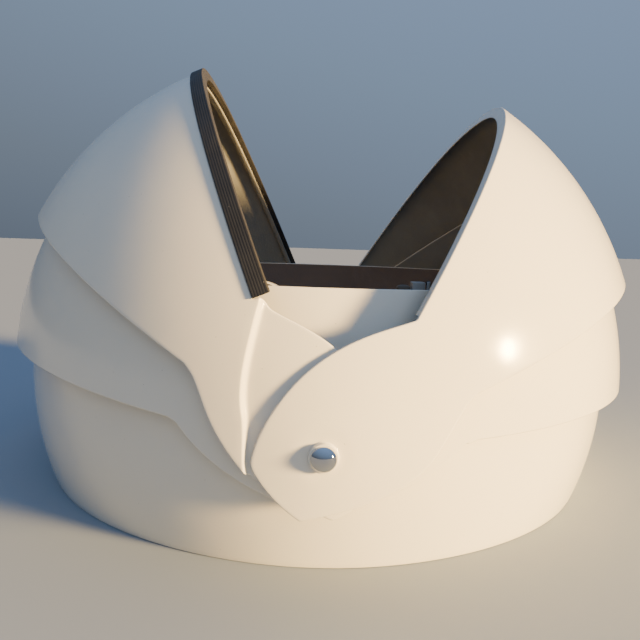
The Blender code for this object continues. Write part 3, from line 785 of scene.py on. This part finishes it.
# Pivots.  At each cheek a 30 mm steel pin carries all four shells on nylon spacers.  Outside it ends
# in a white bonded boss under a polished domed cap, inside in a flanged bush and a nut.
PIN_RADIUS, BORE_RADIUS = 0.0150, 0.0153
THREAD_DEPTH, HALF_PITCH = 0.0011, 0.001
BOSS_RADIUS, BOSS_EDGE = 0.0305, 0.0013
CAP_RADIUS, CAP_SKIRT, CAP_SLOPE, CAP_RINGS = 0.0266, 0.004, radians(50), 18
BOSS_TOP = HUB_FACE + 0.014
BUSH_FACE = HUB_FACE - BASE_INSET - LAMINATE
NUT_FACE = BUSH_FACE - 0.012
NUT_END = NUT_FACE - 0.0137
NUT_FLAT, NUT_BEVEL, NUT_BORE, NUT_STEPS = 0.0206, 0.0202, 0.0152, 72
NUT_CONE = 0.55
BOLT_CIRCLE, BOLT_SEAT = 0.041, BUSH_FACE - 0.0083


def solid_piece(name, shape, look, crease):
    """a piece in one material, from a mesh that is being built"""
    mesh = bpy.data.meshes.new(name)
    bmesh.ops.recalc_face_normals(shape, faces=shape.faces)
    shape.to_mesh(mesh)
    shape.free()
    mesh.materials.append(look)
    smooth(mesh, crease)
    return add_object(name, mesh)


def turned_part(name, profile, look, y_sign, steps=72, centre=AXLE):
    """a solid of revolution about a line along Y, from (radius, distance from the dome's middle) points"""
    shape = bmesh.new()
    rings = []
    for radius, y in profile:
        turns = [2 * pi * k / steps for k in range(steps if radius else 1)]
        rings.append([shape.verts.new((centre.x + radius * sin(turn), y * y_sign,
                                       centre.z + radius * cos(turn))) for turn in turns])
    for a, b in zip(rings, rings[1:] + rings[:1]):
        for k in range(steps):
            around = ((a, k), (a, k + 1), (b, k + 1), (b, k))
            corners = dict.fromkeys(ring[i % len(ring)] for ring, i in around)
            if len(corners) > 2:
                shape.faces.new(list(corners))
    return solid_piece(name, shape, look, 40)


def metal(name, colour, dull, roughness, scratch):
    """bare or plated metal with fine turning marks, and dull where it has weathered"""
    return weathered(
        name, wear=(22.0, 40.0, 7.0), patches=(colour, dull, 0.35, 0.75), runs=None,
        dirt=((0.25, 0.23, 0.21), 0.0, 1.5), dullness=("Cloud", 0.3, 0.8, roughness * 0.8, roughness * 1.8),
        grains=(("Noise", 60.0, 6.0, scratch, 0.0002),), stretch=(1.0, 18.0, 1.0),
        Roughness=roughness, Metallic=1.0)


CHROME = metal("chrome", (0.62, 0.63, 0.65), (0.55, 0.56, 0.58), 0.035, 0.03)
STEEL = metal("galvanised_steel", (0.52, 0.53, 0.54), (0.38, 0.39, 0.40), 0.34, 0.25)
NYLON = weathered(
    "nylon", wear=(30.0, 50.0, 9.0), patches=((0.74, 0.73, 0.68), (0.64, 0.62, 0.56), 0.3, 0.7), runs=None,
    dirt=((0.22, 0.20, 0.18), 0.0, 1.0), dullness=("Runs", 0.3, 0.8, 0.36, 0.6),
    grains=(("Noise", 300.0, 2.0, 0.2, 0.0003),), Roughness=0.45, IOR=1.53)
boss_foot = HUB_FACE + SEAT_GAP
boss_corner = BOSS_RADIUS - BOSS_EDGE
boss = [(BORE_RADIUS, BOSS_TOP), (boss_corner, BOSS_TOP)]
boss += [(boss_corner + BOSS_EDGE * sin(radians(a)), BOSS_TOP - BOSS_EDGE + BOSS_EDGE * cos(radians(a)))
         for a in range(18, 91, 18)]
boss += [(BOSS_RADIUS, HUB_FACE + 0.003), (BOSS_RADIUS + 0.0007, HUB_FACE + 0.0012),
         (BOSS_RADIUS + 0.0022, boss_foot), (BORE_RADIUS, boss_foot)]
cap_seat = BOSS_TOP + SEAT_GAP
cap_rim = cap_seat + CAP_SKIRT
ball = (CAP_RADIUS - 0.0005) / sin(CAP_SLOPE)
ball_centre = cap_rim - ball * cos(CAP_SLOPE)
cap = [(ball * sin(CAP_SLOPE * k / CAP_RINGS), ball_centre + ball * cos(CAP_SLOPE * k / CAP_RINGS))
       for k in range(CAP_RINGS + 1)]
cap += [(CAP_RADIUS - 0.0002, cap_rim - 0.0005), (CAP_RADIUS, cap_rim - 0.0011),
        (CAP_RADIUS, cap_seat + 0.0008), (CAP_RADIUS - 0.0006, cap_seat), (0.0, cap_seat)]
bush = [(radius, BUSH_FACE - drop) for radius, drop in
        ((BORE_RADIUS, SEAT_GAP), (0.048, SEAT_GAP), (0.050, 0.002), (0.050, 0.005), (0.048, 0.0065),
         (0.034, 0.0070), (0.0315, 0.0085), (0.0305, 0.0108), (0.0290, 0.0117), (BORE_RADIUS, 0.0117))]
pin_end, pin_top = HUB_FACE - 0.133, BOSS_TOP - SEAT_GAP
pin = [(0.0, pin_top), (PIN_RADIUS, pin_top)]
pin += [(PIN_RADIUS - THREAD_DEPTH * (k % 2), NUT_FACE + 0.004 - HALF_PITCH * k) for k in range(23)]
pin += [(0.0132, pin_end), (0.0, pin_end)]


def nut(name, y_sign):
    """a hexagon with its corners turned down to a cone, on the pin's thread"""
    outer, inner = NUT_FACE - SEAT_GAP, NUT_END
    points = []
    for ring in range(6):
        for k in range(NUT_STEPS):
            turn = 2 * pi * k / NUT_STEPS
            across = NUT_FLAT / cos((turn % (pi / 3)) - pi / 6)
            drop = max(across - NUT_BEVEL, 0.0) * NUT_CONE
            radius = (NUT_BORE, NUT_BEVEL, across, across, NUT_BEVEL, NUT_BORE)[ring]
            y = (outer, outer, outer - drop, inner + drop, inner, inner)[ring]
            points.append((AXLE.x + radius * sin(turn), y * y_sign, AXLE.z + radius * cos(turn)))
    mesh = bpy.data.meshes.new(name)
    mesh.from_pydata(points, [], ring_faces(6, NUT_STEPS, NUT_STEPS))
    mesh.materials.append(STEEL)
    piece = add_object(name, mesh)
    face_outwards(piece)
    smooth(mesh, 25)
    return piece


def screw_tree():
    """socket-head screws, one on each point of a mesh"""
    tree, given, result = group_tree(
        "screw_heads", "GeometryNodeTree",
        [("Spots", "Geometry", None), ("Radius", "Float", 0.0045), ("Height", "Float", 0.003),
         ("Turn", "Vector", (0.0, 0.0, 0.0)), ("Finish", "Material", None)],
        [("Screws", "Geometry")])
    key_radius = calc(tree, "MULTIPLY", given["Radius"], 0.52)
    head, key = (out(tree, "GeometryNodeMeshCylinder",
                     {"Vertices": sides, "Radius": radius, "Depth": given["Height"]})
                 for sides, radius in ((24, given["Radius"]), (6, key_radius)))
    lift = out(tree, "ShaderNodeCombineXYZ", {"Z": calc(tree, "MULTIPLY", given["Height"], 0.4)})
    raised = out(tree, "GeometryNodeTransform", {"Geometry": key, "Translation": lift})
    socket = out(tree, "GeometryNodeMeshBoolean", {"Mesh 1": head, "Mesh 2": raised},
                 operation="DIFFERENCE", solver="EXACT")
    return copies(tree, given["Spots"], socket, given["Turn"], given["Finish"], result)


SCREWS = screw_tree()


def screws(name, spots, radius, height, y_sign):
    """screws driven along Y, with their heads towards the dome's middle"""
    mesh = bpy.data.meshes.new(name + "_spots")
    mesh.from_pydata([tuple(p) for p in spots], [], [])
    piece = built(name, mesh, SCREWS, Radius=radius, Height=height, Turn=(y_sign * pi / 2, 0.0, 0.0),
                  Finish=STEEL)
    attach(piece, "base")


for end, y_sign in (("front", -1), ("back", 1)):
    bolts = [(AXLE.x + x, BOLT_SEAT * y_sign, AXLE.z + z)
             for x, z in (polar(BOLT_CIRCLE, angle) for angle in (45, 135, 225, 315))]
    screws(end + "_bush_screws", bolts, 0.0042, 0.004, y_sign)
    made = {"_axle": turned_part(end + "_pin", pin, STEEL, y_sign, 48),
            "_axle_nut": nut(end + "_hexagon_nut", y_sign),
            "_bearing": turned_part(end + "_bush", bush, STEEL, y_sign),
            "_boss": turned_part(end + "_hub_boss", boss, GELCOAT, y_sign),
            "_cap": turned_part(end + "_hub_cap", cap, CHROME, y_sign)}
    for suffix, piece in made.items():
        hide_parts(end + suffix)
        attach(piece, "base")
    for spacer in ("_outer_spacer", "_long_spacer", "_middle_spacer", "_inner_spacer"):
        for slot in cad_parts[end + spacer].material_slots:
            slot.material = NYLON


# Limit switch.  A moulded grey box on a bonded white pad, inside the front rim, with a screwed lid,
# a steel lever with a rubber roller that senses the right shell, and a rubber boot for its lead.
LID_THICKNESS = 0.007
LID_SEAM = 0.0008
LID_NECK = 0.0015
BOOT_SIDES = 28
BOOT_SQUARENESS = 0.6

SWITCH_GREY = weathered(
    "switch_grey", wear=(26.0, 60.0, 12.0), patches=((0.225, 0.220, 0.215), (0.285, 0.278, 0.270), 0.3, 0.7),
    runs=((0.320, 0.315, 0.305), 0.6, 0.9), dirt=((0.05, 0.05, 0.05), 0.0, 1.3),
    dullness=("Runs", 0.3, 0.8, 0.34, 0.6), grains=(("Noise", 900.0, 2.0, 0.35, 0.0002),),
    Roughness=0.42, IOR=1.5)
BOOT_RUBBER = seal_rubber("boot_rubber", (0.085, 0.068, 0.052), (0.120, 0.098, 0.076), (0.160, 0.138, 0.112))


def rounded_block(shape, low, high, radius):
    """adds a block with rounded edges to a mesh that is being built"""
    low, high = Vector(low), Vector(high)
    place = Matrix.Translation((low + high) / 2) @ Matrix.Diagonal((*(high - low), 1.0))
    corners = bmesh.ops.create_cube(shape, size=1.0, matrix=place)["verts"]
    edges = list({e for v in corners for e in v.link_edges})
    bmesh.ops.bevel(shape, geom=edges, offset=radius, segments=3, profile=0.5, affect="EDGES")


def skin_over(shape, rows):
    """adds faces from each ring of points to the next, and one over each end"""
    for a, b in zip(rows, rows[1:]):
        for k in range(len(a)):
            shape.faces.new((a[k - 1], a[k], b[k], b[k - 1]))
    shape.faces.new(rows[0])
    shape.faces.new(rows[-1])


def as_piece(name, shape, look, solid):
    """a finished piece of the base in place of one of the model's solids"""
    piece = solid_piece(name, shape, look, 35)
    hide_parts(solid)
    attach(piece, "base")


low, high = (Vector(corner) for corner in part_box("switch_box"))
lid_back = high.y - LID_THICKNESS
box = bmesh.new()
rounded_block(box, low, (high.x, lid_back - LID_SEAM, high.z), 0.003)
rounded_block(box, (low.x + LID_NECK, lid_back - 0.002, low.z + LID_NECK),
              (high.x - LID_NECK, high.y - 0.002, high.z - LID_NECK), 0.001)
rounded_block(box, (low.x, lid_back, low.z), high, 0.002)
as_piece("switch_housing", box, SWITCH_GREY, "switch_box")
lid_corners = [(x, high.y + 0.0004, z) for x in (low.x + 0.0055, high.x - 0.0055)
               for z in (low.z + 0.006, high.z - 0.006)]
screws("switch_lid_screws", lid_corners, 0.0024, 0.0018, -1)

low, high = (Vector(corner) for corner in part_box("switch_lever"))
arm = bmesh.new()
for near, far, under, over in ((low.y + 0.001, low.y + 0.0035, low.z, high.z - 0.003),
                               (high.y - 0.0035, high.y - 0.001, high.z - 0.030, high.z - 0.003),
                               (low.y + 0.002, high.y - 0.001, high.z - 0.034, high.z - 0.0285)):
    rounded_block(arm, (low.x + 0.002, near, under), (high.x - 0.002, far, over), 0.001)
as_piece("switch_lever_arm", arm, STEEL, "switch_lever")
near, far = -low.y, -high.y
wheel = [(0.0, near - 0.0045), (0.0050, near - 0.0045), (0.0060, near - 0.0054), (0.0060, far + 0.0054),
         (0.0050, far + 0.0045), (0.0, far + 0.0045)]
roller = Vector(((low.x + high.x) / 2, 0.0, high.z - 0.007))
# The roller takes the lighter rubber copy that was made to lift the seal's shaded faces.
wheel = turned_part("switch_roller", wheel, SHADE_LIFTED_RUBBER, -1, 32, roller)
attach(wheel, "base")

low, high = (Vector(corner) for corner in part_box("switch_gland"))
centre, half = (low + high) / 2, (high - low) / 2
boot = bmesh.new()
rings = [(low.z, 1.0)] + [(low.z + 0.006 + 0.0022 * k, 0.90 if k % 2 else 1.0) for k in range(17)]
rings += [(high.z - 0.008, 0.98), (high.z - 0.0045, 0.90), (high.z - 0.0018, 0.72), (high.z - 0.0004, 0.42),
          (high.z, 0.12)]
rows = []
for z, size in rings:
    row = []
    for k in range(BOOT_SIDES):
        turn = 2 * pi * k / BOOT_SIDES
        x, y = (size * abs(v) ** BOOT_SQUARENESS * (1 if v > 0 else -1) for v in (cos(turn), sin(turn)))
        row.append(boot.verts.new((centre.x + half.x * x, centre.y + half.y * y, z)))
    rows.append(row)
skin_over(boot, rows)
as_piece("switch_boot", boot, BOOT_RUBBER, "switch_gland")
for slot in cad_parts["switch_pad"].material_slots:
    slot.material = GELCOAT


# Rim strap.  A strip of the same white laminate, 4 mm thick, bent to an arch and bonded by one long
# edge to the inside of the front wall, at the left, where it stands a few millimetres above the rim.
STRAP_CENTRE = (-0.155, 0.247)
STRAP_RADIUS = 0.093
STRAP_THICKNESS = 0.004
STRAP_FREE_EDGE = -0.895
STRAP_ROUND = 0.0015
STRAP_BEND = 62

outer, inner, soft = STRAP_RADIUS, STRAP_RADIUS - STRAP_THICKNESS, STRAP_ROUND * 0.27
# the corners of its section: the radius and the distance from the free edge, or None at the wall
strap_section = ((outer, None), (outer, STRAP_ROUND), (outer - soft, soft), (outer - STRAP_ROUND, 0.0),
                 (inner + STRAP_ROUND, 0.0), (inner + soft, soft), (inner, STRAP_ROUND), (inner, None))
wall = layer(ANGLES, BASE_INSET + LAMINATE + SEAT_GAP)
strap = bmesh.new()
rows = []
for angle in np.radians(np.linspace(-STRAP_BEND, STRAP_BEND, 63)):
    row = []
    for radius, from_edge in strap_section:
        x, z = STRAP_CENTRE[0] + radius * sin(angle), STRAP_CENTRE[1] + radius * cos(angle)
        y = -np.interp(np.hypot(x, z), *wall) if from_edge is None else STRAP_FREE_EDGE - from_edge
        row.append(strap.verts.new((AXLE.x + x, y, AXLE.z + z)))
    rows.append(row)
skin_over(strap, rows)
as_piece("rim_strap_strip", strap, GELCOAT, "rim_strap")


# Light.  A soft warm lamp, low at the right and in front, with a smaller one in it for the glint in
# the gloss, a weak cool one in front, and a plain surround, palest overhead and darker at the left.
SKY = ((0.0, (0.062, 0.074, 0.092)), (0.40, (0.098, 0.121, 0.158)), (0.52, (0.164, 0.204, 0.265)),
       (0.64, (0.210, 0.285, 0.405)), (1.0, (0.310, 0.475, 0.780)))
SKY_LEAN = 0.22
KEY_PLACE, WARM, COOL = (9.03, -3.98, 2.25), (1.0, 0.665, 0.26), (0.66, 0.82, 1.0)
LAMPS = (("key", "SUN", KEY_PLACE, 23.0, WARM, radians(12.0), False),
         ("glint", "SUN", KEY_PLACE, 4.0, WARM, radians(5.0), True),
         ("fill", "AREA", (1.5, -8.0, 3.6), 80.0, COOL, 4.0, False))
AIM = Vector((0.0, 0.0, 0.60))

world = bpy.data.worlds.new("studio")
bpy.context.scene.world = world
world.use_nodes = True
sky = world.node_tree
outwards = node(sky, "ShaderNodeTexCoord").outputs["Generated"]
toward = node(sky, "ShaderNodeSeparateXYZ", {"Vector": outwards}).outputs
tilted = calc(sky, "MULTIPLY_ADD", toward["X"], SKY_LEAN, toward["Z"])
ramp = node(sky, "ShaderNodeValToRGB", {"Fac": level(sky, tilted, -1.0, 1.0)})
stops = ramp.color_ramp.elements
for place, colour in SKY[1:-1]:
    stops.new(place)
for stop, (place, colour) in zip(stops, SKY):
    stop.color = (*colour, 1.0)
sky.links.new(ramp.outputs["Color"], sky.nodes["Background"].inputs["Color"])
for name, kind, place, power, colour, width, mirrored in LAMPS:
    lamp = add_object(name, bpy.data.lights.new(name, kind))
    lamp.data.energy = power
    lamp.data.color = colour
    setattr(lamp.data, "angle" if kind == "SUN" else "size", width)
    lamp.location = place
    lamp.rotation_euler = (AIM - Vector(place)).to_track_quat("-Z", "Y").to_euler()
    lamp.visible_glossy = mirrored
